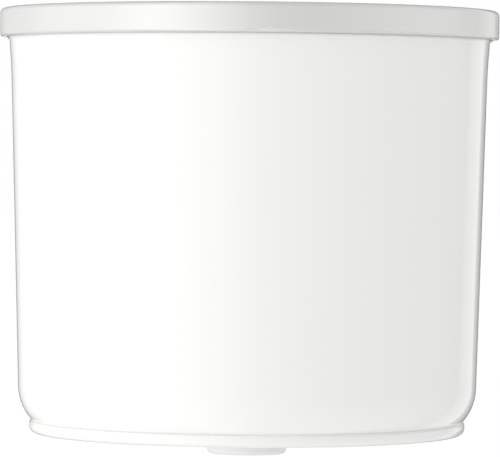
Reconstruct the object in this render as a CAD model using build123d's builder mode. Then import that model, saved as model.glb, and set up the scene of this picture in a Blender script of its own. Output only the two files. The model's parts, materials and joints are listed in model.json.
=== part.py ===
"""Ice cream maker for a stand mixer: an insulated freezing bowl with its lid and dasher.

Millimetres, +Z up. The origin is on the bowl's axis at the foot of the locating boss, the lowest
point. The filler flap is on the -Y side. The bowl is a nest of cups: outer shell, insulation,
coolant jacket, coolant and aluminium liner. The lid carries the dasher on a shaft in its bushing.
"""

import os
from math import asin, atan, cos, degrees, radians, sin, tan

from build123d import *

# --- Driving dimensions -----------------------------------------------------------------------

# Locating boss, below the base
BOSS_R = 15.9
BOSS_DROP = 8.2  # from the seat face of the base down to the boss's foot
BOSS_FOOT_FILLET = 2.0
BOSS_NECK_R = 15.3  # where the boss passes through the base plate
BOSS_FLANGE_R = 25.0
KEY_SOCKET_ACROSS = 15.0
KEY_SOCKET_DEPTH = 9.0
PEG_COUNT = 3
PEG_CIRCLE_R = 20.5
PEG_R = 1.8
PEG_GAP = 0.1
PEG_TIP_GAP = 0.6

# Base plate and its screws
BASE_R = 87.4
BASE_H = 5.0
BASE_FILLET = 2.8
BASE_TOP_FILLET = 1.0
BASE_RIM_T = 2.6
BASE_PLATE_T = 2.2
BASE_RIB_RS = (40.0, 70.0)
BASE_RIB_T = 1.8
BASE_BOSS_GAP = 0.2
BASE_PILLAR_R = 5.2
SCREW_COUNT = 4
SCREW_CIRCLE_R = 56.0
SCREW_FIRST_ANGLE = 45.0
SCREW_SHANK_R = 1.4
SCREW_SHANK_L = 12.0
SCREW_TIP_CHAMFER = 0.9
SCREW_HEAD_R = 3.1
SCREW_HEAD_H = 1.9
SCREW_HEAD_FILLET = 0.8
SCREW_CROSS = (3.4, 0.7, 1.2)  # the cross recess: length, width and depth
SCREW_BEDDING_GAP = 0.05  # round the shank in the shell's pillars
COUNTERBORE_R = 3.7
COUNTERBORE_DEPTH = 2.2
CLEARANCE_HOLE_R = 1.7

# Outer shell
SHELL_T = 2.4
SHELL_CORNER_R = 20.5
SHELL_LOW_R = 91.95  # outer radius where the wall meets the rounded lower corner
SHELL_LOW_Z = 26.7
SHELL_HIGH_R = 95.33  # outer radius where the wall starts to flare
SHELL_HIGH_Z = 150.0
SHELL_FLARE_R = 96.2
SHELL_FLARE_Z = 163.8
SHELL_LIP_R = 96.8
SHELL_LIP_Z = 165.2
SHELL_LIP_T = 0.7
SHELL_NECK_R = 94.8
SHELL_TOP_Z = 168.6
PILLAR_R = 4.2
PILLAR_H = 7.4  # above the shell's floor
PILLAR_BORE_DEPTH = 10.0

# The nest of cups inside it, from the outside in
NEST_GAP = 0.2
FOAM_T = 7.0
FOAM_FLOOR_T = 10.0
FOAM_BELOW_RIM = 4.0
FOAM_FILLETS = (19.0, 15.0)  # outer and inner lower corners
JACKET_T = 2.0
JACKET_FILLETS = (14.6, 12.6)
JACKET_FLANGE_T = 1.6
COOLANT_T = 8.8
COOLANT_FLOOR_T = 10.0
COOLANT_FILLETS = (12.4, 15.4)
COOLANT_LEVEL_Z = 161.0  # air is left above it, because the coolant swells as it freezes
LINER_T = 1.2
LINER_FILLETS = (15.2, 14.0)
LINER_MOUTH_FILLETS = (0.8, 2.0)
LINER_FLANGE_R = 88.0
PIP_R = 6.4  # the cone on the liner's floor that centres the dasher's foot
PIP_TOP_R = 3.6
PIP_H = 5.4
PIP_FILLET = 1.0

# Filling hole in the jacket's floor, and its plug
FILL_HOLE_X = 38.0
FILL_HOLE_R = 5.0
FILL_COLLAR_T = 2.0
FILL_COLLAR_H = 3.0  # above the jacket's floor
PLUG_HEAD_R = 7.4
PLUG_HEAD_H = 2.6
PLUG_HEAD_CHAMFER = 0.6
PLUG_SHANK_GAP = 0.1
PLUG_SHANK_L = 4.6
PLUG_GROOVE = (1.0, 2.0, 1.4)  # of the O-ring: height above the head, width and depth
PLUG_SLOT = (8.0, 1.4, 1.4)  # of a screwdriver: length, width and depth
O_RING_R = 0.68

# The stack at the rim
RIM_SEAL_IN_R = 84.6
RIM_SEAL_OUT_R = 94.0
RIM_SEAL_T = 1.2
RIM_GAP = 0.1
RIM_RING_T = 1.8
RIM_RING_R = 96.6
RIM_RING_MOUTH_R = 78.0
RIM_RING_FILLETS = (1.2, 1.0)  # outer edge and mouth

# Lid
LID_R = 100.0
LID_H = 11.4
LID_BOTTOM_Z = 166.4
LID_T = 2.0
LID_TOP_FILLET = 2.0
LID_SKIRT_FILLET = 1.2
SKIRT_T = 2.4
PLUG_R = 70.4  # the part of the lid that fits down inside the rim
RECESS_DEPTH = 9.4
WELL_R = 19.0
WELL_DEPTH = 10.4
LID_HUB_R = 11.0
LID_HUB_Z = 143.0
LID_FOLD_FILLETS = (1.0, 2.4)  # small and large, where the lid's sheet folds
GRIP_WEB_ENDS = (19.0, 69.0)
GRIP_WEB_T = 3.2
GRIP_WEB_H = 8.2
GRIP_WEB_FILLET = 1.3
LID_RIB_COUNT = 6
LID_RIB_ENDS = (20.5, 68.5)
LID_RIB_T = 1.6
LID_RIB_H = 3.0
LID_SEAL_ROOT = (86.0, 92.0, 0.8)  # inner and outer radius, and thickness
LID_SEAL_EDGE = (88.0, 90.0)
LID_SEAL_GAP = 0.3

# Feed opening and flap
FEED_R = 58.0
FEED_INNER_Y = -31.0
FEED_HALF_ANGLE = radians(34.0)
FEED_CORNER_R = 5.0
FLAP_OVERLAP = 3.0
FLAP_T = 1.8
FLAP_GAP = 0.2
FLAP_FILLET = 0.7
FINGER_BAR = (22.0, 3.0, 2.4)  # length, width and height
FINGER_BAR_FILLET = 1.0
HINGE_Y = -24.2
HINGE_RISE = 2.6  # hinge axis above the recess floor
PIN_R = 1.2
KNUCKLE_R = 2.3
FLAP_KNUCKLE_L = 14.4
LID_KNUCKLE_L = 4.0
KNUCKLE_GAP = 0.3

# Shaft, its bushing and its seal
SHAFT_R = 5.0
SHAFT_Z = 49.0
SHAFT_CHAMFER = 0.6
RUNNING_GAP = 0.05
AXIAL_GAP = 0.4
BUSHING_R = 8.0
BUSHING_FLANGE_R = 12.0
BUSHING_FLANGE_T = 1.4
BUSHING_FILLET = 0.6
SHAFT_SEAL_H = 3.4
SHAFT_SEAL_GAP = 0.08
SHAFT_SEAL_LIP = 1.0
CROSS_PIN_R = 1.5
CROSS_PIN_CHAMFER = 0.3
CROSS_PIN_INSET = 0.4  # each end, below the surface of the hub that it crosses

# Drive coupling
DRIVE_BORE_R = 6.0
DRIVE_BORE_L = 12.0
COUPLING_R = 14.0
COUPLING_NECK_R = 10.5
COUPLING_NECK_H = 5.0
COUPLING_CONE_H = 3.0
COUPLING_FILLET = 1.0
COUPLING_BELOW_LID = 0.4
DOG_SLOT_W = 3.2
DOG_SLOT_DEPTH = 4.5
COUPLING_PIN_RISE = 2.6

# Dasher
HUB_R = 9.0
HUB_TOP_Z = 141.2
HUB_FILLET = 3.0
WASHER_T = 1.4
BLADE_T = 3.6
BLADE_BULGE = (40.0, -11.0)  # a point on the blade's bowed plan
BLADE_TOP_Z = 138.0
BLADE_CORNER_R = 13.0
PADDLE_FLOOR_GAP = 1.8
PADDLE_CLEARANCE = 2.6  # paddle's edge to the liner
PADDLE_PIN_Z = 132.0
SOCKET_GAP = 0.6  # round the cone on the liner's floor
WINDOW_SIZE = (38.0, 15.0)
WINDOW_X = 37.0
WINDOW_ZS = (63.0, 89.0, 115.0)
WINDOW_SLANT = 15.0
SCRAPER_T = 1.4
SCRAPER_CLEARANCE = 0.9
SCRAPER_SLOT_L = 8.0  # depth of the slot that holds it in the blade's edge
SCRAPER_Z = 62.0
SCRAPER_TOP_Z = 134.0
SCRAPER_FILLET = 0.4

# --- Heights and offsets that follow ----------------------------------------------------------

SEAT_Z = BOSS_DROP
PLATE_TOP_Z = SEAT_Z + BASE_PLATE_T
BASE_TOP_Z = SEAT_Z + BASE_H
SCREW_HEAD_Z = SEAT_Z + COUNTERBORE_DEPTH - SCREW_HEAD_H
TAPER = (SHELL_HIGH_R - SHELL_LOW_R) / (SHELL_HIGH_Z - SHELL_LOW_Z)
TAPER_ANGLE = atan(TAPER)

SHELL_FLOOR_Z = BASE_TOP_Z + SHELL_T
FOAM_Z = SHELL_FLOOR_Z + NEST_GAP
FOAM_FLOOR_Z = FOAM_Z + FOAM_FLOOR_T
JACKET_Z = FOAM_FLOOR_Z + NEST_GAP
JACKET_FLOOR_Z = JACKET_Z + JACKET_T
COOLANT_Z = JACKET_FLOOR_Z + NEST_GAP
COOLANT_FLOOR_Z = COOLANT_Z + COOLANT_FLOOR_T
LINER_Z = COOLANT_FLOOR_Z + NEST_GAP
LINER_FLOOR_Z = LINER_Z + LINER_T
PIP_TOP_Z = LINER_FLOOR_Z + PIP_H

FOAM_OUT = SHELL_T + NEST_GAP  # how far each face lies inside the shell's outer wall
FOAM_IN = FOAM_OUT + FOAM_T
JACKET_OUT = FOAM_IN + NEST_GAP
JACKET_IN = JACKET_OUT + JACKET_T
COOLANT_OUT = JACKET_IN + NEST_GAP
COOLANT_IN = COOLANT_OUT + COOLANT_T
LINER_OUT = COOLANT_IN + NEST_GAP
LINER_IN = LINER_OUT + LINER_T

RIM_SEAL_Z = SHELL_TOP_Z + JACKET_FLANGE_T
LINER_FLANGE_Z = RIM_SEAL_Z + RIM_SEAL_T
RIM_RING_Z = LINER_FLANGE_Z + LINER_T
RIM_TOP_Z = RIM_RING_Z + RIM_RING_T

LID_TOP_Z = LID_BOTTOM_Z + LID_H
LAND_Z = LID_TOP_Z - LID_T  # underside of the lid's flat outer land
RECESS_Z = LID_TOP_Z - RECESS_DEPTH
WELL_Z = RECESS_Z - WELL_DEPTH
HINGE_Z = RECESS_Z + HINGE_RISE
FLAP_Z = RECESS_Z + FLAP_GAP
SHAFT_SEAL_Z = LID_HUB_Z + AXIAL_GAP
BUSHING_Z = SHAFT_SEAL_Z + SHAFT_SEAL_H
BUSHING_TOP_Z = WELL_Z + BUSHING_FLANGE_T

COUPLING_Z = BUSHING_TOP_Z + AXIAL_GAP
COUPLING_TOP_Z = LID_TOP_Z - COUPLING_BELOW_LID
COUPLING_PIN_Z = COUPLING_Z + COUPLING_PIN_RISE
SHAFT_TOP_Z = COUPLING_TOP_Z - DRIVE_BORE_L
PADDLE_Z = LINER_FLOOR_Z + PADDLE_FLOOR_GAP

# --- Helpers ----------------------------------------------------------------------------------


def wall_r(z, inside=0.0):
    """Radius at height z of the tapered wall, a distance inside the shell's outer face."""
    return SHELL_LOW_R + (z - SHELL_LOW_Z) * TAPER - inside


def half_section(points, corners=()):
    """A profile to revolve, from (radius, height) points; corners are (radius, height, fillet)."""
    with BuildSketch(Plane.XZ) as profile:
        with BuildLine():
            Polyline(*points, close=True)
        make_face()
        for r, z, fillet_r in corners:
            fillet(profile.vertices().sort_by_distance((r, z, 0))[0], fillet_r)
    return profile.sketch


def cup_section(outside, inside, bottom_z, floor_z, top_z, fillets, flange=(), mouth=()):
    """Half section of a tapered cup between two distances inside the shell's outer face.

    The fillets are of its outer and inner lower corners. The flange's points, if any, come
    between the top of the outer wall and the mouth, and the mouth's corners are added last.
    """
    outer_low = (wall_r(bottom_z, outside), bottom_z)
    inner_low = (wall_r(floor_z, inside), floor_z)
    rim = flange or [(wall_r(top_z, outside), top_z)]
    inner_top = (wall_r(top_z, inside), top_z)
    points = [(0, bottom_z), outer_low, *rim, inner_top, inner_low, (0, floor_z)]
    corners = [(*outer_low, fillets[0]), (*inner_low, fillets[1]), *mouth]
    return half_section(points, corners)


def discs(disc_r, z, circle_r, count, first_angle):
    """Equal discs on a circle about the axis, on the plane at height z."""
    with BuildSketch(Plane.XY.offset(z)) as group:
        with PolarLocations(circle_r, count, start_angle=first_angle):
            Circle(disc_r)
    return group.sketch


def screw_discs(disc_r, z):
    """A disc at each of the base plate's screws."""
    return discs(disc_r, z, SCREW_CIRCLE_R, SCREW_COUNT, SCREW_FIRST_ANGLE)


def peg_discs(disc_r):
    """A disc at each peg that keeps the locating boss from turning, on the base's top plane."""
    return discs(disc_r, BASE_TOP_Z, PEG_CIRCLE_R, PEG_COUNT, 90)


def filling_disc(disc_r, z):
    """A disc on the axis of the jacket's filling hole."""
    with BuildSketch(Plane.XY.offset(z)) as disc:
        with Locations((FILL_HOLE_X, 0)):
            Circle(disc_r)
    return disc.sketch


def cross_pin_section(z):
    """The round section of a pin that crosses the axis along Y at height z."""
    with BuildSketch(Plane.XZ) as section:
        with Locations((0, z)):
            Circle(CROSS_PIN_R)
    return section.sketch


# --- Outer case -------------------------------------------------------------------------------

with BuildPart() as outer_shell:
    down = (-sin(TAPER_ANGLE), -cos(TAPER_ANGLE))
    up = (sin(TAPER_ANGLE), cos(TAPER_ANGLE))
    corner_z = SHELL_LOW_Z + SHELL_CORNER_R * sin(TAPER_ANGLE)  # height of the corner's centre
    inner_corner_r = SHELL_CORNER_R - SHELL_T
    outer_sweep = degrees(asin((corner_z - BASE_TOP_Z) / SHELL_CORNER_R) - TAPER_ANGLE)
    inner_sweep = degrees(asin((corner_z - SHELL_FLOOR_Z) / inner_corner_r) - TAPER_ANGLE)
    inner_low_r = SHELL_LOW_R - SHELL_T * cos(TAPER_ANGLE)
    inner_low_z = SHELL_LOW_Z + SHELL_T * sin(TAPER_ANGLE)
    flare_start = (SHELL_HIGH_R, SHELL_HIGH_Z)
    flare_end = (SHELL_FLARE_R, SHELL_FLARE_Z)
    with BuildSketch(Plane.XZ):
        with BuildLine():
            outer_arc = JernArc((SHELL_LOW_R, SHELL_LOW_Z), down, SHELL_CORNER_R, -outer_sweep)
            inner_arc = JernArc((inner_low_r, inner_low_z), down, inner_corner_r, -inner_sweep)
            Polyline(outer_arc @ 1, (0, BASE_TOP_Z), (0, SHELL_FLOOR_Z), inner_arc @ 1)
            Line(outer_arc @ 0, flare_start)
            TangentArc(flare_start, flare_end, tangent=up)
            Polyline(
                flare_end,
                (SHELL_FLARE_R, SHELL_LIP_Z),
                (SHELL_LIP_R, SHELL_LIP_Z),
                (SHELL_LIP_R, SHELL_LIP_Z + SHELL_LIP_T),
                (SHELL_NECK_R, SHELL_LIP_Z + SHELL_LIP_T),
                (SHELL_NECK_R, SHELL_TOP_Z),
                (wall_r(SHELL_TOP_Z, SHELL_T), SHELL_TOP_Z),
                inner_arc @ 0,
            )
        make_face()
    revolve(axis=Axis.Z)
    # Blind pillars on the floor take the base plate's screws.
    extrude(screw_discs(PILLAR_R, BASE_TOP_Z), amount=SHELL_T + PILLAR_H)
    pilot_r = SCREW_SHANK_R + SCREW_BEDDING_GAP
    extrude(screw_discs(pilot_r, BASE_TOP_Z), amount=PILLAR_BORE_DEPTH, mode=Mode.SUBTRACT)
    # Pegs under the floor keep the locating boss from turning.
    extrude(peg_discs(PEG_R), amount=-(BASE_TOP_Z - PLATE_TOP_Z - PEG_TIP_GAP))

with BuildPart() as base_plate:
    hole_r = BOSS_R + BASE_BOSS_GAP
    rim_in_r = BASE_R - BASE_RIM_T
    points = [
        (hole_r, SEAT_Z),
        (BASE_R, SEAT_Z),
        (BASE_R, BASE_TOP_Z),
        (rim_in_r, BASE_TOP_Z),
        (rim_in_r, PLATE_TOP_Z),
        (hole_r, PLATE_TOP_Z),
    ]
    corners = [(BASE_R, SEAT_Z, BASE_FILLET), (BASE_R, BASE_TOP_Z, BASE_TOP_FILLET)]
    revolve(half_section(points, corners), axis=Axis.Z)
    # Stiffening rings, and a pillar round each screw, meet the shell's floor.
    with BuildSketch(Plane.XY.offset(PLATE_TOP_Z)):
        for rib_r in BASE_RIB_RS:
            Circle(rib_r)
            Circle(rib_r - BASE_RIB_T, mode=Mode.SUBTRACT)
        add(screw_discs(BASE_PILLAR_R, 0))
    extrude(amount=BASE_TOP_Z - PLATE_TOP_Z)
    extrude(screw_discs(COUNTERBORE_R, SEAT_Z), amount=COUNTERBORE_DEPTH, mode=Mode.SUBTRACT)
    extrude(screw_discs(CLEARANCE_HOLE_R, SEAT_Z), amount=BASE_H, mode=Mode.SUBTRACT)

with BuildPart() as locating_boss:
    points = [
        (0, 0),
        (BOSS_R, 0),
        (BOSS_R, SEAT_Z),
        (BOSS_NECK_R, SEAT_Z),
        (BOSS_NECK_R, PLATE_TOP_Z),
        (BOSS_FLANGE_R, PLATE_TOP_Z),
        (BOSS_FLANGE_R, BASE_TOP_Z),
        (0, BASE_TOP_Z),
    ]
    revolve(half_section(points, [(BOSS_R, 0, BOSS_FOOT_FILLET)]), axis=Axis.Z)
    # The machine's hexagonal post enters here, so the bowl can't turn with the dasher.
    with BuildSketch(Plane.XY):
        RegularPolygon(radius=KEY_SOCKET_ACROSS / 2, side_count=6, major_radius=False)
    extrude(amount=KEY_SOCKET_DEPTH, mode=Mode.SUBTRACT)
    peg_depth = BASE_TOP_Z - PLATE_TOP_Z
    extrude(peg_discs(PEG_R + PEG_GAP), amount=-peg_depth, mode=Mode.SUBTRACT)

with BuildPart() as base_screws:
    extrude(screw_discs(SCREW_HEAD_R, SCREW_HEAD_Z), amount=SCREW_HEAD_H)
    fillet(base_screws.faces().group_by(Axis.Z)[0].edges(), SCREW_HEAD_FILLET)
    extrude(screw_discs(SCREW_SHANK_R, SCREW_HEAD_Z + SCREW_HEAD_H), amount=SCREW_SHANK_L)
    chamfer(base_screws.faces().group_by(Axis.Z)[-1].edges(), SCREW_TIP_CHAMFER)
    cross_l, cross_w, cross_depth = SCREW_CROSS
    with BuildSketch(Plane.XY.offset(SCREW_HEAD_Z)):
        with PolarLocations(SCREW_CIRCLE_R, SCREW_COUNT, start_angle=SCREW_FIRST_ANGLE):
            Rectangle(cross_l, cross_w)
            Rectangle(cross_w, cross_l)
    extrude(amount=cross_depth, mode=Mode.SUBTRACT)

# --- Nest of cups -----------------------------------------------------------------------------

with BuildPart() as insulation:
    top_z = SHELL_TOP_Z - FOAM_BELOW_RIM
    section = cup_section(FOAM_OUT, FOAM_IN, FOAM_Z, FOAM_FLOOR_Z, top_z, FOAM_FILLETS)
    revolve(section, axis=Axis.Z)
    # Pockets clear the shell's pillars and the filling plug's head.
    pocket_h = PILLAR_H + NEST_GAP
    extrude(screw_discs(PILLAR_R + NEST_GAP, FOAM_Z), amount=pocket_h, mode=Mode.SUBTRACT)
    plug_pocket = filling_disc(PLUG_HEAD_R + NEST_GAP, FOAM_FLOOR_Z)
    extrude(plug_pocket, amount=-(PLUG_HEAD_H + NEST_GAP), mode=Mode.SUBTRACT)

with BuildPart() as coolant_jacket:
    flange_r = SHELL_NECK_R - RIM_GAP
    flange = [
        (wall_r(SHELL_TOP_Z, JACKET_OUT), SHELL_TOP_Z),
        (flange_r, SHELL_TOP_Z),
        (flange_r, RIM_SEAL_Z),
    ]
    heights = (JACKET_Z, JACKET_FLOOR_Z, RIM_SEAL_Z)
    section = cup_section(JACKET_OUT, JACKET_IN, *heights, JACKET_FILLETS, flange)
    revolve(section, axis=Axis.Z)
    # The collar of the filling hole, which the plug closes from below.
    collar_h = JACKET_T + FILL_COLLAR_H
    extrude(filling_disc(FILL_HOLE_R + FILL_COLLAR_T, JACKET_Z), amount=collar_h)
    extrude(filling_disc(FILL_HOLE_R, JACKET_Z), amount=collar_h, mode=Mode.SUBTRACT)

with BuildPart() as coolant:
    heights = (COOLANT_Z, COOLANT_FLOOR_Z, COOLANT_LEVEL_Z)
    section = cup_section(COOLANT_OUT, COOLANT_IN, *heights, COOLANT_FILLETS)
    revolve(section, axis=Axis.Z)
    collar_room = filling_disc(FILL_HOLE_R + FILL_COLLAR_T + NEST_GAP, COOLANT_Z)
    extrude(collar_room, amount=FILL_COLLAR_H, mode=Mode.SUBTRACT)

with BuildPart() as fill_plug:
    shank_r = FILL_HOLE_R - PLUG_SHANK_GAP
    head_z = JACKET_Z - PLUG_HEAD_H
    groove_rise, groove_w, groove_depth = PLUG_GROOVE
    slot_l, slot_w, slot_depth = PLUG_SLOT
    extrude(filling_disc(PLUG_HEAD_R, head_z), amount=PLUG_HEAD_H)
    chamfer(fill_plug.faces().sort_by(Axis.Z)[0].edges(), PLUG_HEAD_CHAMFER)
    extrude(filling_disc(shank_r, JACKET_Z), amount=PLUG_SHANK_L)
    with BuildSketch(Plane.XY.offset(JACKET_Z + groove_rise)):
        with Locations((FILL_HOLE_X, 0)):
            Circle(shank_r)
            Circle(shank_r - groove_depth, mode=Mode.SUBTRACT)
    extrude(amount=groove_w, mode=Mode.SUBTRACT)
    with BuildSketch(Plane.XY.offset(head_z)):
        with Locations((FILL_HOLE_X, 0)):
            SlotOverall(slot_l, slot_w)
    extrude(amount=slot_depth, mode=Mode.SUBTRACT)

with BuildPart() as fill_plug_seal:
    ring_x = FILL_HOLE_X + FILL_HOLE_R - O_RING_R
    with BuildSketch(Plane.XZ):
        with Locations((ring_x, JACKET_Z + groove_rise + groove_w / 2)):
            Circle(O_RING_R)
    revolve(axis=Axis((FILL_HOLE_X, 0, 0), (0, 0, 1)))

with BuildPart() as inner_bowl:
    wall_top = (wall_r(LINER_FLANGE_Z, LINER_OUT), LINER_FLANGE_Z)
    flange = [wall_top, (LINER_FLANGE_R, LINER_FLANGE_Z), (LINER_FLANGE_R, RIM_RING_Z)]
    mouth = [
        (*wall_top, LINER_MOUTH_FILLETS[0]),
        (wall_r(RIM_RING_Z, LINER_IN), RIM_RING_Z, LINER_MOUTH_FILLETS[1]),
    ]
    heights = (LINER_Z, LINER_FLOOR_Z, RIM_RING_Z)
    section = cup_section(LINER_OUT, LINER_IN, *heights, LINER_FILLETS, flange, mouth)
    revolve(section, axis=Axis.Z)
    points = [(0, LINER_Z), (PIP_R, LINER_Z), (PIP_R, LINER_FLOOR_Z), (PIP_TOP_R, PIP_TOP_Z)]
    points += [(0, PIP_TOP_Z)]
    revolve(half_section(points, [(PIP_TOP_R, PIP_TOP_Z, PIP_FILLET)]), axis=Axis.Z)

with BuildPart() as rim_seal:
    step_r = LINER_FLANGE_R + RIM_GAP
    points = [
        (RIM_SEAL_IN_R, RIM_SEAL_Z),
        (RIM_SEAL_OUT_R, RIM_SEAL_Z),
        (RIM_SEAL_OUT_R, RIM_RING_Z),
        (step_r, RIM_RING_Z),
        (step_r, LINER_FLANGE_Z),
        (RIM_SEAL_IN_R, LINER_FLANGE_Z),
    ]
    revolve(half_section(points), axis=Axis.Z)

with BuildPart() as rim_ring:
    skirt_in_r = SHELL_NECK_R + RIM_GAP
    skirt_z = SHELL_LIP_Z + SHELL_LIP_T
    points = [
        (skirt_in_r, skirt_z),
        (RIM_RING_R, skirt_z),
        (RIM_RING_R, RIM_TOP_Z),
        (RIM_RING_MOUTH_R, RIM_TOP_Z),
        (RIM_RING_MOUTH_R, RIM_RING_Z),
        (skirt_in_r, RIM_RING_Z),
    ]
    corners = [
        (RIM_RING_R, RIM_TOP_Z, RIM_RING_FILLETS[0]),
        (RIM_RING_MOUTH_R, RIM_TOP_Z, RIM_RING_FILLETS[1]),
    ]
    revolve(half_section(points, corners), axis=Axis.Z)

# --- Lid --------------------------------------------------------------------------------------


def feed_outline(grow, z):
    """Outline of the lid's feed opening, or when grown, of the flap that covers it."""
    near_x = -FEED_INNER_Y * tan(FEED_HALF_ANGLE)
    far_x = FEED_R * tan(FEED_HALF_ANGLE)
    with BuildSketch(Plane.XY.offset(z)) as outline:
        with BuildLine():
            near_side = [(-near_x, FEED_INNER_Y), (near_x, FEED_INNER_Y)]
            Polyline(*near_side, (far_x, -FEED_R), (-far_x, -FEED_R), close=True)
        make_face()
        Circle(FEED_R, mode=Mode.INTERSECT)
        fillet(outline.vertices(), FEED_CORNER_R)
        if grow:
            offset(amount=grow)
    return outline.sketch


with BuildPart() as lid:
    small_fold, large_fold = LID_FOLD_FILLETS
    skirt_in_r = LID_R - SKIRT_T
    recess_r = PLUG_R - LID_T
    well_out_r = WELL_R + LID_T
    points = [
        (skirt_in_r, LID_BOTTOM_Z),
        (LID_R, LID_BOTTOM_Z),
        (LID_R, LID_TOP_Z),
        (recess_r, LID_TOP_Z),
        (recess_r, RECESS_Z),
        (WELL_R, RECESS_Z),
        (WELL_R, WELL_Z),
        (BUSHING_R, WELL_Z),
        (BUSHING_R, LID_HUB_Z),
        (LID_HUB_R, LID_HUB_Z),
        (LID_HUB_R, WELL_Z - LID_T),
        (well_out_r, WELL_Z - LID_T),
        (well_out_r, RECESS_Z - LID_T),
        (PLUG_R, RECESS_Z - LID_T),
        (PLUG_R, LAND_Z),
        (skirt_in_r, LAND_Z),
    ]
    corners = [
        (LID_R, LID_BOTTOM_Z, LID_SKIRT_FILLET),
        (LID_R, LID_TOP_Z, LID_TOP_FILLET),
        (recess_r, LID_TOP_Z, small_fold),
        (recess_r, RECESS_Z, large_fold),
        (WELL_R, RECESS_Z, small_fold),
        (WELL_R, WELL_Z, large_fold),
        (LID_HUB_R, WELL_Z - LID_T, small_fold),
        (well_out_r, WELL_Z - LID_T, large_fold),
        (PLUG_R, RECESS_Z - LID_T, large_fold),
        (PLUG_R, LAND_Z, small_fold),
        (skirt_in_r, LAND_Z, small_fold),
    ]
    revolve(half_section(points, corners), axis=Axis.Z)
    # Two webs across the recess are what the fingers hold to lift the lid.
    web_start, web_end = GRIP_WEB_ENDS
    web_x = (web_start + web_end) / 2
    with BuildSketch(Plane.XY.offset(RECESS_Z - LID_T / 2)):
        with Locations((web_x, 0), (-web_x, 0)):
            Rectangle(web_end - web_start, GRIP_WEB_T)
    extrude(amount=LID_T / 2 + GRIP_WEB_H)
    web_top_z = RECESS_Z + GRIP_WEB_H
    web_edges = lid.edges().filter_by(Axis.X).filter_by_position(Axis.Z, web_top_z, web_top_z)
    fillet(web_edges, GRIP_WEB_FILLET)
    # Radial ribs stiffen the recess floor from below.
    rib_start, rib_end = LID_RIB_ENDS
    with BuildSketch(Plane.XY.offset(RECESS_Z - LID_T)):
        with PolarLocations((rib_start + rib_end) / 2, LID_RIB_COUNT, start_angle=30):
            Rectangle(rib_end - rib_start, LID_RIB_T)
    extrude(amount=-LID_RIB_H)
    opening_z = RECESS_Z - LID_T - LID_RIB_H
    extrude(feed_outline(0, opening_z), amount=LID_T + LID_RIB_H, mode=Mode.SUBTRACT)
    # The hinge's outer knuckles stand on the recess floor.
    knuckle_x = FLAP_KNUCKLE_L / 2 + KNUCKLE_GAP
    for start_x in (knuckle_x, -knuckle_x - LID_KNUCKLE_L):
        with BuildSketch(Plane.YZ.offset(start_x)):
            with Locations((HINGE_Y, HINGE_Z)):
                Circle(KNUCKLE_R)
            with Locations((HINGE_Y, HINGE_Z - HINGE_RISE / 2)):
                Rectangle(2 * KNUCKLE_R, HINGE_RISE)
            with Locations((HINGE_Y, HINGE_Z)):
                Circle(PIN_R, mode=Mode.SUBTRACT)
        extrude(amount=LID_KNUCKLE_L)

with BuildPart() as lid_seal:
    root_in_r, root_out_r, root_t = LID_SEAL_ROOT
    edge_z = RIM_TOP_Z + LID_SEAL_GAP
    points = [
        (root_in_r, LAND_Z),
        (root_out_r, LAND_Z),
        (root_out_r, LAND_Z - root_t),
        (LID_SEAL_EDGE[1], edge_z),
        (LID_SEAL_EDGE[0], edge_z),
        (root_in_r, LAND_Z - root_t),
    ]
    revolve(half_section(points), axis=Axis.Z)

with BuildPart() as shaft_bushing:
    bore_r = SHAFT_R + RUNNING_GAP
    points = [
        (bore_r, BUSHING_Z),
        (BUSHING_R, BUSHING_Z),
        (BUSHING_R, WELL_Z),
        (BUSHING_FLANGE_R, WELL_Z),
        (BUSHING_FLANGE_R, BUSHING_TOP_Z),
        (bore_r, BUSHING_TOP_Z),
    ]
    corners = [(BUSHING_FLANGE_R, BUSHING_TOP_Z, BUSHING_FILLET)]
    revolve(half_section(points, corners), axis=Axis.Z)

with BuildPart() as shaft_seal:
    lip_r = SHAFT_R + SHAFT_SEAL_GAP
    points = [
        (lip_r, SHAFT_SEAL_Z),
        (BUSHING_R, SHAFT_SEAL_Z),
        (BUSHING_R, BUSHING_Z),
        (BUSHING_R - SHAFT_SEAL_LIP, BUSHING_Z),
        (lip_r + SHAFT_SEAL_LIP, SHAFT_SEAL_Z + SHAFT_SEAL_LIP),
        (lip_r, SHAFT_SEAL_Z + SHAFT_SEAL_LIP),
    ]
    revolve(half_section(points), axis=Axis.Z)

with BuildPart() as flap_hinge_pin:
    half_l = FLAP_KNUCKLE_L / 2 + KNUCKLE_GAP + LID_KNUCKLE_L
    with BuildSketch(Plane.YZ):
        with Locations((HINGE_Y, HINGE_Z)):
            Circle(PIN_R)
    extrude(amount=half_l, both=True)

with BuildPart() as filler_flap:
    extrude(feed_outline(FLAP_OVERLAP, FLAP_Z), amount=FLAP_T)
    fillet(filler_flap.faces().sort_by(Axis.Z)[-1].edges(), FLAP_FILLET)
    tongue_l = HINGE_Y - FEED_INNER_Y
    with BuildSketch(Plane.XY.offset(FLAP_Z)):
        with Locations((0, HINGE_Y - tongue_l / 2)):
            Rectangle(FLAP_KNUCKLE_L, tongue_l)
    extrude(amount=FLAP_T)
    # A raised bar at the free edge is where a fingertip lifts the flap.
    bar_l, bar_w, bar_h = FINGER_BAR
    with BuildSketch(Plane.XY.offset(FLAP_Z + FLAP_T)):
        with Locations((0, -FEED_R + bar_w / 2)):
            SlotOverall(bar_l, bar_w)
    extrude(amount=bar_h)
    fillet(filler_flap.faces().sort_by(Axis.Z)[-1].edges(), FINGER_BAR_FILLET)
    with BuildSketch(Plane.YZ):
        with Locations((HINGE_Y, HINGE_Z)):
            Circle(KNUCKLE_R)
    extrude(amount=FLAP_KNUCKLE_L / 2, both=True)
    with BuildSketch(Plane.YZ):
        with Locations((HINGE_Y, HINGE_Z)):
            Circle(PIN_R + RUNNING_GAP)
    extrude(amount=FLAP_KNUCKLE_L / 2, both=True, mode=Mode.SUBTRACT)

# --- Dasher -----------------------------------------------------------------------------------


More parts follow.
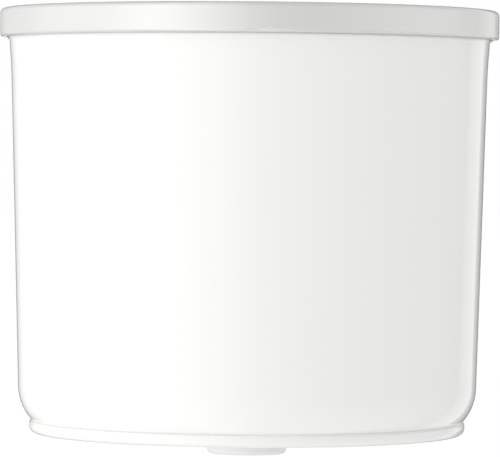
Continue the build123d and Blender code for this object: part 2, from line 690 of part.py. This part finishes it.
def swept_space(clearance, bottom_z, top_z, corner_r):
    """Half section of the space that turns a clearance inside the liner, between two heights."""
    inside = LINER_IN + clearance
    low = (wall_r(bottom_z, inside), bottom_z)
    points = [(0, bottom_z), low, (wall_r(top_z, inside), top_z), (0, top_z)]
    return half_section(points, [(*low, corner_r)])


def blades_plan(thickness):
    """Plan of two bowed blades, half a turn apart."""
    with BuildSketch() as blade:
        with BuildLine():
            ThreePointArc((0, 0), BLADE_BULGE, (wall_r(BLADE_TOP_Z, LINER_IN), 0))
        trace(line_width=thickness)
    return blade.sketch + blade.sketch.rotate(Axis.Z, 180)


with BuildPart() as drive_shaft:
    with BuildSketch(Plane.XY.offset(SHAFT_Z)):
        Circle(SHAFT_R)
    extrude(amount=SHAFT_TOP_Z - SHAFT_Z)
    chamfer(drive_shaft.edges().filter_by(GeomType.CIRCLE), SHAFT_CHAMFER)
    for pin_z in (COUPLING_PIN_Z, PADDLE_PIN_Z):
        extrude(cross_pin_section(pin_z), amount=SHAFT_R, both=True, mode=Mode.SUBTRACT)

with BuildPart() as drive_coupling:
    neck_top_z = COUPLING_Z + COUPLING_NECK_H
    points = [
        (SHAFT_R, COUPLING_Z),
        (COUPLING_NECK_R, COUPLING_Z),
        (COUPLING_NECK_R, neck_top_z),
        (COUPLING_R, neck_top_z + COUPLING_CONE_H),
        (COUPLING_R, COUPLING_TOP_Z),
        (DRIVE_BORE_R, COUPLING_TOP_Z),
        (DRIVE_BORE_R, SHAFT_TOP_Z),
        (SHAFT_R, SHAFT_TOP_Z),
    ]
    corners = [(COUPLING_R, COUPLING_TOP_Z, COUPLING_FILLET)]
    revolve(half_section(points, corners), axis=Axis.Z)
    # Two slots take the cross pin of the mixer's spindle.
    with BuildSketch(Plane.XY.offset(COUPLING_TOP_Z)):
        Rectangle(2 * COUPLING_R, DOG_SLOT_W)
    extrude(amount=-DOG_SLOT_DEPTH, mode=Mode.SUBTRACT)
    pin_hole = cross_pin_section(COUPLING_PIN_Z)
    extrude(pin_hole, amount=COUPLING_NECK_R, both=True, mode=Mode.SUBTRACT)

with BuildPart() as coupling_pin:
    pin_half_l = COUPLING_NECK_R - CROSS_PIN_INSET
    extrude(cross_pin_section(COUPLING_PIN_Z), amount=pin_half_l, both=True)
    chamfer(coupling_pin.edges().filter_by(GeomType.CIRCLE), CROSS_PIN_CHAMFER)

with BuildPart() as thrust_washer:
    with BuildSketch(Plane.XY.offset(HUB_TOP_Z)):
        Circle(LID_HUB_R)
        Circle(SHAFT_R + RUNNING_GAP, mode=Mode.SUBTRACT)
    extrude(amount=WASHER_T)

with BuildPart() as scrapers:
    heights = (SCRAPER_Z, SCRAPER_TOP_Z, SCRAPER_FILLET)
    extrude(blades_plan(SCRAPER_T), amount=BLADE_TOP_Z)
    reach = swept_space(SCRAPER_CLEARANCE, *heights)
    revolve(reach, axis=Axis.Z, mode=Mode.INTERSECT)
    root = swept_space(PADDLE_CLEARANCE + SCRAPER_SLOT_L, *heights)
    revolve(root, axis=Axis.Z, mode=Mode.SUBTRACT)

with BuildPart() as paddle:
    extrude(blades_plan(BLADE_T), amount=BLADE_TOP_Z)
    reach = swept_space(PADDLE_CLEARANCE, PADDLE_Z, BLADE_TOP_Z, BLADE_CORNER_R)
    revolve(reach, axis=Axis.Z, mode=Mode.INTERSECT)
    with BuildSketch(Plane.XY.offset(PADDLE_Z)):
        Circle(HUB_R)
    extrude(amount=HUB_TOP_Z - PADDLE_Z)
    # The hub's own seam is the longest upright edge, and the blades' roots come next.
    fillet(paddle.edges().filter_by(Axis.Z).group_by(SortBy.LENGTH)[-2], HUB_FILLET)
    with BuildSketch(Plane.XY.offset(SHAFT_Z)):
        Circle(SHAFT_R)
    extrude(amount=HUB_TOP_Z - SHAFT_Z, mode=Mode.SUBTRACT)
    # The socket in the foot turns round the cone on the bowl's floor.
    socket_r = PIP_R - (PIP_R - PIP_TOP_R) * PADDLE_FLOOR_GAP / PIP_H + SOCKET_GAP
    socket_top_r = PIP_TOP_R + SOCKET_GAP / 2
    socket_top_z = PIP_TOP_Z + SOCKET_GAP
    points = [(0, PADDLE_Z), (socket_r, PADDLE_Z), (socket_top_r, socket_top_z)]
    points += [(0, socket_top_z)]
    revolve(half_section(points), axis=Axis.Z, mode=Mode.SUBTRACT)
    # Slanted windows let the ice cream pass through the blades.
    with BuildSketch(Plane.XZ):
        for window_z in WINDOW_ZS:
            for side in (1, -1):
                place = Location((side * WINDOW_X, window_z, 0), (0, 0, side * WINDOW_SLANT))
                with Locations(place):
                    SlotOverall(*WINDOW_SIZE)
    extrude(amount=2 * -BLADE_BULGE[1], both=True, mode=Mode.SUBTRACT)
    extrude(cross_pin_section(PADDLE_PIN_Z), amount=HUB_R, both=True, mode=Mode.SUBTRACT)
    add(scrapers.part, mode=Mode.SUBTRACT)

with BuildPart() as paddle_pin:
    extrude(cross_pin_section(PADDLE_PIN_Z), amount=HUB_R - CROSS_PIN_INSET, both=True)
    chamfer(paddle_pin.edges().filter_by(GeomType.CIRCLE), CROSS_PIN_CHAMFER)

# --- Export -----------------------------------------------------------------------------------

scraper_left, scraper_right = scrapers.part.solids().sort_by(Axis.X)

parts = {
    "outer_shell": outer_shell.part,
    "base_plate": base_plate.part,
    "locating_boss": locating_boss.part,
    "base_screws": base_screws.part,
    "insulation": insulation.part,
    "coolant_jacket": coolant_jacket.part,
    "coolant": coolant.part,
    "fill_plug": fill_plug.part,
    "fill_plug_seal": fill_plug_seal.part,
    "inner_bowl": inner_bowl.part,
    "rim_seal": rim_seal.part,
    "rim_ring": rim_ring.part,
    "lid": lid.part,
    "lid_seal": lid_seal.part,
    "shaft_bushing": shaft_bushing.part,
    "shaft_seal": shaft_seal.part,
    "flap_hinge_pin": flap_hinge_pin.part,
    "filler_flap": filler_flap.part,
    "drive_coupling": drive_coupling.part,
    "coupling_pin": coupling_pin.part,
    "drive_shaft": drive_shaft.part,
    "thrust_washer": thrust_washer.part,
    "paddle": paddle.part,
    "paddle_pin": paddle_pin.part,
    "scraper_left": scraper_left,
    "scraper_right": scraper_right,
}

os.makedirs("parts", exist_ok=True)
for name, part in parts.items():
    part.label = name
    export_step(part, f"parts/{name}.step")
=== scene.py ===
"""Studio scene of the ice cream maker: materials, stage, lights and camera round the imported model.

Everything is in metres in the CAD model's frame: +Z up, the filler flap and the camera towards -Y.
"""

import json
from math import radians

import bpy
from mathutils import Matrix, Vector


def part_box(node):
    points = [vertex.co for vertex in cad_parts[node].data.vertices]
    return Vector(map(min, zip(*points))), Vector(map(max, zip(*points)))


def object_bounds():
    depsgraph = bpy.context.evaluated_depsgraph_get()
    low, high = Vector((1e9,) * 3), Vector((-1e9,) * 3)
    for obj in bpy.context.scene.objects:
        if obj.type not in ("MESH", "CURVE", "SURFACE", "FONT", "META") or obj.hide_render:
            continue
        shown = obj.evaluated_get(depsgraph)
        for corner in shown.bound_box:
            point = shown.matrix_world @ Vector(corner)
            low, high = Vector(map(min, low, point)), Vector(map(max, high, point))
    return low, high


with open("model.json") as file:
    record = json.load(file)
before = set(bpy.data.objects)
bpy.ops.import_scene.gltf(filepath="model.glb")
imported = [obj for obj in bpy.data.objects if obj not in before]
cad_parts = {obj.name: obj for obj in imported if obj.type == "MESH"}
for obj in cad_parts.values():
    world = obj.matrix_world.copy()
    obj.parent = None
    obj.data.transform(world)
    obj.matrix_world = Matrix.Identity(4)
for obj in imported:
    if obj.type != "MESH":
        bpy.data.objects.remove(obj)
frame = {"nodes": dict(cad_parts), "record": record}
cad_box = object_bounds()
nodes = frame["nodes"]
lid_lo, lid_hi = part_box("lid")
lid_width = lid_hi.x - lid_lo.x

# --- Camera -----------------------------------------------------------------------------------

VIEW_DISTANCE = 8.075 * lid_width
EYE_HEIGHT = 0.1198
AIM = Vector((0.00069, 0.0, 0.0903))
ROLL = radians(0.449)
LENS_MM = 289.5
SENSOR_MM = 36.0
FURTHEST_SEEN = 50.0


def make_camera():
    """A long lens a little above the middle of the bowl, almost level and rolled very slightly."""
    camera = bpy.data.objects.new("camera", bpy.data.cameras.new("camera"))
    bpy.context.scene.collection.objects.link(camera)
    camera.data.lens = LENS_MM
    camera.data.sensor_width = SENSOR_MM
    camera.data.clip_end = FURTHEST_SEEN
    place = Vector((AIM.x, -VIEW_DISTANCE, EYE_HEIGHT))
    turn = (AIM - place).to_track_quat("-Z", "Y").to_matrix() @ Matrix.Rotation(ROLL, 3, "Z")
    camera.matrix_world = Matrix.Translation(place) @ turn.to_4x4()
    bpy.context.scene.camera = camera


make_camera()

# --- Node helpers -----------------------------------------------------------------------------


def new_material(name):
    """An empty node material, with its tree and its Principled shader."""
    material = bpy.data.materials.new(name)
    material.use_nodes = True
    tree = material.node_tree
    return material, tree, tree.nodes["Principled BSDF"]


def object_place(tree):
    """The point's place on the object, in metres."""
    return tree.nodes.new("ShaderNodeTexCoord").outputs["Object"]


def stretched(tree, vector, scale):
    """The vector with its X, Y and Z multiplied by scale, to draw a texture out along an axis."""
    node = tree.nodes.new("ShaderNodeVectorMath")
    node.operation = "MULTIPLY"
    node.inputs[1].default_value = scale
    tree.links.new(vector, node.inputs[0])
    return node.outputs["Vector"]


def noise(tree, vector, scale, detail=2.0, roughness=0.5):
    """A noise texture's value, at scale cells per metre."""
    node = tree.nodes.new("ShaderNodeTexNoise")
    node.inputs["Scale"].default_value = scale
    node.inputs["Detail"].default_value = detail
    node.inputs["Roughness"].default_value = roughness
    tree.links.new(vector, node.inputs["Vector"])
    return node.outputs["Fac"]


def cells(tree, vector, scale):
    """A Voronoi texture's distance to the nearest cell's centre, at scale cells per metre."""
    node = tree.nodes.new("ShaderNodeTexVoronoi")
    node.inputs["Scale"].default_value = scale
    tree.links.new(vector, node.inputs["Vector"])
    return node.outputs["Distance"]


def arithmetic(tree, operation, first, second):
    """A Math node's result. Each of first and second is a socket or a number."""
    node = tree.nodes.new("ShaderNodeMath")
    node.operation = operation
    for socket, value in zip(node.inputs, (first, second)):
        if isinstance(value, (int, float)):
            socket.default_value = value
        else:
            tree.links.new(value, socket)
    return node.outputs["Value"]


def spread(tree, value, low, high):
    """The value, from 0 to 1, stretched to run from low to high."""
    node = tree.nodes.new("ShaderNodeMapRange")
    node.inputs["To Min"].default_value = low
    node.inputs["To Max"].default_value = high
    tree.links.new(value, node.inputs["Value"])
    return node.outputs["Result"]


def blend_colours(tree, value, low, high):
    """A colour between low and high, by a value from 0 to 1."""
    node = tree.nodes.new("ShaderNodeMix")
    node.data_type = "RGBA"
    node.inputs["A"].default_value = (*low, 1.0)
    node.inputs["B"].default_value = (*high, 1.0)
    tree.links.new(value, node.inputs["Factor"])
    return node.outputs["Result"]


def bump(tree, shader, height, depth):
    """Bumps the shader's surface by a height from 0 to 1, over a depth in metres."""
    node = tree.nodes.new("ShaderNodeBump")
    node.inputs["Distance"].default_value = depth
    tree.links.new(height, node.inputs["Height"])
    tree.links.new(node.outputs["Normal"], shader.inputs["Normal"])


def mottled(tree, shader, place, colour, amount, scale=38.0):
    """Gives the shader a colour that drifts lighter and darker by the amount."""
    darker = [c * (1.0 - amount) for c in colour]
    lighter = [min(c * (1.0 + amount), 1.0) for c in colour]
    drift = noise(tree, place, scale, 3.0)
    tree.links.new(blend_colours(tree, drift, darker, lighter), shader.inputs["Base Color"])


def uneven_gloss(tree, shader, place, roughness, amount=0.15, scale=160.0):
    """Gives the shader a roughness that varies by the amount over small patches."""
    patches = noise(tree, place, scale, 3.0)
    low = roughness * (1.0 - amount)
    high = roughness * (1.0 + amount)
    tree.links.new(spread(tree, patches, low, high), shader.inputs["Roughness"])


# --- Materials --------------------------------------------------------------------------------

PLASTIC_IOR = 1.5
PLASTIC_GLOW_RADIUS = (0.003, 0.003, 0.0027)  # how far red, green and blue light travel inside

LID_COLOUR = (0.745, 0.747, 0.73)
LID_ROUGHNESS = 0.36
LID_SHEEN = 1.0
LID_PEARL = 0.34  # pearl pigment in the plastic, which mirrors light as metal does
LID_SKIN = 0.4  # how strong the smooth skin over the satin is
LID_SKIN_ROUGHNESS = 0.12

STEEL_COLOUR = (0.60, 0.59, 0.575)
ALUMINIUM_COLOUR = (0.74, 0.745, 0.75)
BEAD_MIDDLE_COLOUR = (0.90, 0.90, 0.88)
BEAD_SEAM_COLOUR = (0.74, 0.74, 0.71)
GEL_COLOUR = (0.16, 0.47, 0.66)
GEL_IOR = 1.34
NYLON_COLOUR = (0.19, 0.19, 0.195)
FIBRE_COLOUR = (0.30, 0.30, 0.305)


def moulded_plastic(name, colour, roughness, grain=900.0, relief=4e-6, mottle=0.012, glow=0.0):
    """Injection-moulded plastic, with a faint flow mottle and a fine grain from its mould.

    Glow is how much light goes into the plastic and comes out near by, as it does in polypropylene.
    """
    material, tree, shader = new_material(name)
    place = object_place(tree)
    mottled(tree, shader, place, colour, mottle)
    uneven_gloss(tree, shader, place, roughness)
    bump(tree, shader, noise(tree, place, grain), relief)
    shader.inputs["IOR"].default_value = PLASTIC_IOR
    shader.inputs["Subsurface Weight"].default_value = glow
    shader.inputs["Subsurface Radius"].default_value = PLASTIC_GLOW_RADIUS
    shader.inputs["Subsurface Scale"].default_value = 1.0
    return material


def satin_lid(name):
    """Satin polypropylene with some pearl: a fine spark-eroded grain under a faint smooth skin."""
    material = moulded_plastic(name, LID_COLOUR, LID_ROUGHNESS, grain=1500.0, relief=6e-6)
    shader = material.node_tree.nodes["Principled BSDF"]
    shader.inputs["Specular IOR Level"].default_value = LID_SHEEN
    shader.inputs["Metallic"].default_value = LID_PEARL
    shader.inputs["Coat Weight"].default_value = LID_SKIN
    shader.inputs["Coat Roughness"].default_value = LID_SKIN_ROUGHNESS
    return material


def drawn_steel(name):
    """Stainless steel, with fine level marks from drawing and turning."""
    material, tree, shader = new_material(name)
    place = object_place(tree)
    mottled(tree, shader, place, STEEL_COLOUR, amount=0.05, scale=220.0)
    squashed = stretched(tree, place, (1.0, 1.0, 30.0))
    rings = noise(tree, squashed, scale=160.0, detail=4.0, roughness=0.6)
    tree.links.new(spread(tree, rings, low=0.14, high=0.36), shader.inputs["Roughness"])
    bump(tree, shader, rings, depth=1.2e-5)
    shader.inputs["Metallic"].default_value = 1.0
    return material


def spun_aluminium(name):
    """Anodised aluminium spun on a lathe: fine rings round the axis, and broader tool marks."""
    material, tree, shader = new_material(name)
    place = object_place(tree)
    mottled(tree, shader, place, ALUMINIUM_COLOUR, amount=0.03, scale=60.0)
    apart = tree.nodes.new("ShaderNodeSeparateXYZ")
    tree.links.new(place, apart.inputs["Vector"])
    x_squared = arithmetic(tree, "MULTIPLY", apart.outputs["X"], apart.outputs["X"])
    y_squared = arithmetic(tree, "MULTIPLY", apart.outputs["Y"], apart.outputs["Y"])
    radius = arithmetic(tree, "POWER", arithmetic(tree, "ADD", x_squared, y_squared), 0.5)
    profile = tree.nodes.new("ShaderNodeCombineXYZ")
    tree.links.new(radius, profile.inputs["X"])
    tree.links.new(apart.outputs["Z"], profile.inputs["Z"])
    fine = noise(tree, profile.outputs["Vector"], scale=2600.0, detail=3.0, roughness=0.6)
    broad = noise(tree, profile.outputs["Vector"], scale=320.0)
    tree.links.new(spread(tree, fine, low=0.22, high=0.42), shader.inputs["Roughness"])
    faint = arithmetic(tree, "MULTIPLY", fine, 0.3)
    bump(tree, shader, arithmetic(tree, "ADD", faint, broad), depth=1.6e-5)
    tangent = tree.nodes.new("ShaderNodeTangent")
    tangent.direction_type = "RADIAL"
    tangent.axis = "Z"
    tree.links.new(tangent.outputs["Tangent"], shader.inputs["Tangent"])
    shader.inputs["Anisotropic"].default_value = 0.5
    shader.inputs["Metallic"].default_value = 1.0
    return material


def bead_foam(name):
    """Moulded polystyrene foam: beads of a few millimetres, pressed together."""
    material, tree, shader = new_material(name)
    place = object_place(tree)
    beads = cells(tree, place, scale=300.0)
    bead_tones = blend_colours(tree, beads, BEAD_MIDDLE_COLOUR, BEAD_SEAM_COLOUR)
    tree.links.new(bead_tones, shader.inputs["Base Color"])
    tree.links.new(spread(tree, beads, low=0.55, high=0.9), shader.inputs["Roughness"])
    domes = arithmetic(tree, "SUBTRACT", 1.0, arithmetic(tree, "POWER", beads, 2.0))
    bump(tree, shader, domes, depth=3e-4)
    return material


def freezing_gel(name):
    """Pale blue gel with small bubbles in it."""
    material, tree, shader = new_material(name)
    place = object_place(tree)
    mottled(tree, shader, place, GEL_COLOUR, amount=0.18, scale=55.0)
    bubbles = cells(tree, place, scale=420.0)
    tree.links.new(spread(tree, bubbles, low=0.08, high=0.22), shader.inputs["Roughness"])
    bump(tree, shader, bubbles, depth=1e-4)
    shader.inputs["IOR"].default_value = GEL_IOR
    shader.inputs["Transmission Weight"].default_value = 0.55
    return material


def soft_rubber(name, colour, roughness, glow=0.0):
    """Silicone or rubber: matt, with a powdery fine grain and a soft light along its edges."""
    material = moulded_plastic(
        name, colour, roughness, grain=1200.0, relief=1.2e-5, mottle=0.03, glow=glow
    )
    shader = material.node_tree.nodes["Principled BSDF"]
    shader.inputs["Specular IOR Level"].default_value = 0.35
    shader.inputs["Sheen Weight"].default_value = 0.12
    return material


def filled_nylon(name):
    """Glass-filled nylon: mid grey, with short pale fibres that show in its skin."""
    material, tree, shader = new_material(name)
    place = object_place(tree)
    drawn_out = stretched(tree, place, (1.0, 1.0, 0.25))
    fibres = noise(tree, drawn_out, scale=2200.0, detail=3.0, roughness=0.7)
    fibre_tones = blend_colours(tree, fibres, NYLON_COLOUR, FIBRE_COLOUR)
    tree.links.new(fibre_tones, shader.inputs["Base Color"])
    uneven_gloss(tree, shader, place, roughness=0.42, amount=0.25, scale=400.0)
    bump(tree, shader, fibres, depth=2e-5)
    return material


FINISHES = {
    "shell_white": moulded_plastic(
        "shell_white", (0.93, 0.93, 0.913), roughness=0.09, grain=260.0, relief=1.5e-6, mottle=0.006
    ),
    "base_white": moulded_plastic(
        "base_white", (0.915, 0.915, 0.90), roughness=0.18, grain=500.0, relief=2e-6, mottle=0.008
    ),
    "boss_white": moulded_plastic(
        "boss_white", (0.84, 0.84, 0.835), roughness=0.36, grain=1300.0, relief=8e-6
    ),
    "lid_natural": satin_lid("lid_natural"),
    "steel": drawn_steel("steel"),
    "foam": bead_foam("foam"),
    "jacket_natural": moulded_plastic(
        "jacket_natural", (0.80, 0.81, 0.78), roughness=0.34, glow=0.3
    ),
    "coolant_gel": freezing_gel("coolant_gel"),
    "liner_aluminium": spun_aluminium("liner_aluminium"),
    "seal_silicone": soft_rubber("seal_silicone", (0.74, 0.745, 0.74), roughness=0.48, glow=0.25),
    "black_rubber": soft_rubber("black_rubber", (0.022, 0.022, 0.023), roughness=0.6),
    "bushing_plastic": moulded_plastic(
        "bushing_plastic", (0.80, 0.785, 0.72), roughness=0.3, grain=1600.0, relief=6e-6
    ),
    "coupling_plastic": filled_nylon("coupling_plastic"),
    "paddle_white": moulded_plastic(
        "paddle_white", (0.87, 0.87, 0.855), roughness=0.3, grain=1100.0, relief=5e-6, glow=0.15
    ),
}
for entry in frame["record"]["subparts"]:
    for material_slot in nodes[entry["node"]].material_slots:
        material_slot.material = FINISHES[entry["material_slot"]]

# --- Stage and lights -------------------------------------------------------------------------

FLOOR_SIZE = 12.0
FLOOR_GLOW = 0.95  # the paper's own light, which keeps the shadow under the bowl faint
FLOOR_GREY = 0.10

# The studio's brightness by its direction from the bowl, in degrees round from the camera, negative
# on the camera's left: a softbox on the left front, a fill on the right, a white card behind the
# right edge, and a white backdrop between two black cards, which draw the outline.
STUDIO = (
    (-180, 1.00),
    (-176, 1.00),
    (-174, 0.10),
    (-168, 0.12),
    (-164, 0.45),
    (-150, 0.85),
    (-120, 0.88),
    (-105, 1.20),
    (-75, 1.20),
    (-63, 1.40),
    (-44, 1.85),
    (-34, 1.55),
    (-20, 1.35),
    (-10, 1.10),
    (0, 0.78),
    (16, 0.60),
    (36, 0.68),
    (56, 0.86),
    (90, 1.10),
    (110, 1.00),
    (126, 0.74),
    (131, 0.72),
    (135, 1.00),
    (153, 1.15),
    (155, 0.40),
    (163, 0.25),
    (168, 0.10),
    (174, 0.10),
    (176, 1.00),
    (180, 1.00),
)
# How that brightness changes with height, from straight down (-1) to straight up (1).
STUDIO_HEIGHTS = ((-1.0, 0.85), (-0.3, 1.0), (0.3, 1.0), (0.8, 0.7), (1.0, 0.65))
BRIGHTEST = max(level for _, level in STUDIO)


def make_floor():
    """A plain pale floor. It glows a little, and its light doesn't reach the bowl."""
    half = FLOOR_SIZE / 2
    z = cad_box[0].z
    mesh = bpy.data.meshes.new("floor")
    corners = [(-half, -half, z), (half, -half, z), (half, half, z), (-half, half, z)]
    mesh.from_pydata(corners, [], [(0, 1, 2, 3)])
    floor = bpy.data.objects.new("floor", mesh)
    bpy.context.scene.collection.objects.link(floor)
    floor.visible_diffuse = False
    floor.visible_glossy = False
    floor.visible_shadow = False
    material, tree, shader = new_material("floor_paper")
    place = object_place(tree)
    mottled(tree, shader, place, (FLOOR_GREY,) * 3, amount=0.02, scale=400.0)
    shader.inputs["Roughness"].default_value = 1.0
    shader.inputs["Specular IOR Level"].default_value = 0.0
    shader.inputs["Emission Color"].default_value = (1.0, 1.0, 1.0, 1.0)
    shader.inputs["Emission Strength"].default_value = FLOOR_GLOW
    floor.data.materials.append(material)


def brightness_ramp(tree, position, stops):
    """A ramp over positions from 0 to 1, through (position, brightness) stops."""
    node = tree.nodes.new("ShaderNodeValToRGB")
    elements = node.color_ramp.elements
    while len(elements) < len(stops):
        elements.new(0.5)
    for element, (stop, brightness) in zip(elements, stops):
        element.position = stop
        element.color = (brightness, brightness, brightness, 1.0)
    tree.links.new(position, node.inputs["Fac"])
    return node.outputs["Color"]


def make_world():
    """The studio round the bowl. The camera itself sees plain white behind the bowl."""
    world = bpy.data.worlds.new("studio")
    bpy.context.scene.world = world
    world.use_nodes = True
    tree = world.node_tree
    direction = tree.nodes.new("ShaderNodeTexCoord").outputs["Generated"]
    apart = tree.nodes.new("ShaderNodeSeparateXYZ")
    tree.links.new(direction, apart.inputs["Vector"])
    towards_camera = arithmetic(tree, "MULTIPLY", apart.outputs["Y"], -1.0)
    angle = arithmetic(tree, "ARCTAN2", apart.outputs["X"], towards_camera)
    around = arithmetic(tree, "ADD", arithmetic(tree, "DIVIDE", angle, radians(360)), 0.5)
    height = arithmetic(tree, "ADD", arithmetic(tree, "MULTIPLY", apart.outputs["Z"], 0.5), 0.5)
    around_stops = [(degree / 360 + 0.5, level / BRIGHTEST) for degree, level in STUDIO]
    height_stops = [(z / 2 + 0.5, level) for z, level in STUDIO_HEIGHTS]
    around_level = brightness_ramp(tree, around, around_stops)
    height_level = brightness_ramp(tree, height, height_stops)
    level = arithmetic(tree, "MULTIPLY", around_level, height_level)
    strength = arithmetic(tree, "MULTIPLY", level, BRIGHTEST)
    ray = tree.nodes.new("ShaderNodeLightPath")
    mix = tree.nodes.new("ShaderNodeMix")
    mix.inputs["B"].default_value = 1.0
    tree.links.new(ray.outputs["Is Camera Ray"], mix.inputs["Factor"])
    tree.links.new(strength, mix.inputs["A"])
    tree.links.new(mix.outputs["Result"], tree.nodes["Background"].inputs["Strength"])
    tree.nodes["Background"].inputs["Color"].default_value = (1.0, 1.0, 1.0, 1.0)


make_floor()
make_world()
bpy.context.scene.view_settings.view_transform = "Standard"
